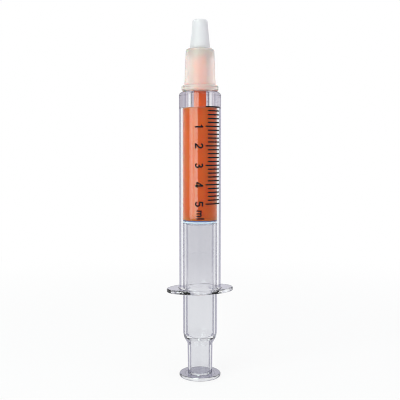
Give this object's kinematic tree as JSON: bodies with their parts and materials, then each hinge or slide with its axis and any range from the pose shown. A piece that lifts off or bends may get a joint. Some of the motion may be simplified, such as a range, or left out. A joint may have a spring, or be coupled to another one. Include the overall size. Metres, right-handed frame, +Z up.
{
  "type": "oral syringe",
  "caption": "Clear oral medicine syringe with printed scale, hollow plunger, finger flange, push-on collar and frosted tip cap, part filled with orange medicine.",
  "frame": {"origin": "centre of the thumb button's lower face, on the ground plane", "axes": "+Z up the barrel's axis from thumb button to tip; the finger flange's wings lie along +X and -X; the scale is printed on the -Y side, turned 13 degrees toward +X"},
  "size_m": [0.026, 0.017, 0.1363],
  "materials": {
    "clear_barrel": "gloss",
    "clear_nozzle": "gloss",
    "clear_plunger": "gloss",
    "clear_seal": "satin",
    "peach_collar": "satin",
    "frosted_tip": "satin",
    "medicine": "gloss",
    "print_ink": "satin"
  },
  "bodies": {
    "barrel": {"barrel": "clear_barrel", "nozzle_insert": "clear_nozzle", "nozzle_fill": "medicine", "medicine_column": "medicine", "major_graduations": "print_ink", "minor_graduations": "print_ink", "numeral_1": "print_ink", "numeral_2": "print_ink", "numeral_3": "print_ink", "numeral_4": "print_ink", "numeral_5": "print_ink", "unit_mark": "print_ink"},
    "seal": {"piston_seal": "clear_seal"},
    "plunger": {"piston_head": "clear_plunger", "plunger_tube": "clear_plunger", "thumb_button": "clear_plunger"},
    "collar": {"nozzle_collar": "peach_collar"},
    "tip": {"tip_cap": "frosted_tip"}
  },
  "joints": [
    {"name": "plunger_slide", "type": "slide", "parent": "barrel", "child": "seal", "axis": [0, 0, 1], "range_m": [-0.023, 0.0314], "deforming": ["medicine_column"]},
    {"name": "plunger_spin", "type": "hinge", "parent": "seal", "child": "plunger", "pos_m": [0, 0, 0.061], "axis": [0, 0, 1], "continuous": true},
    {"name": "collar_pull", "type": "slide", "parent": "barrel", "child": "collar", "axis": [0, 0, 1], "range_m": [0, 0.02]},
    {"name": "tip_pull", "type": "slide", "parent": "collar", "child": "tip", "axis": [0, 0, 1], "range_m": [0, 0.012]}
  ]
}
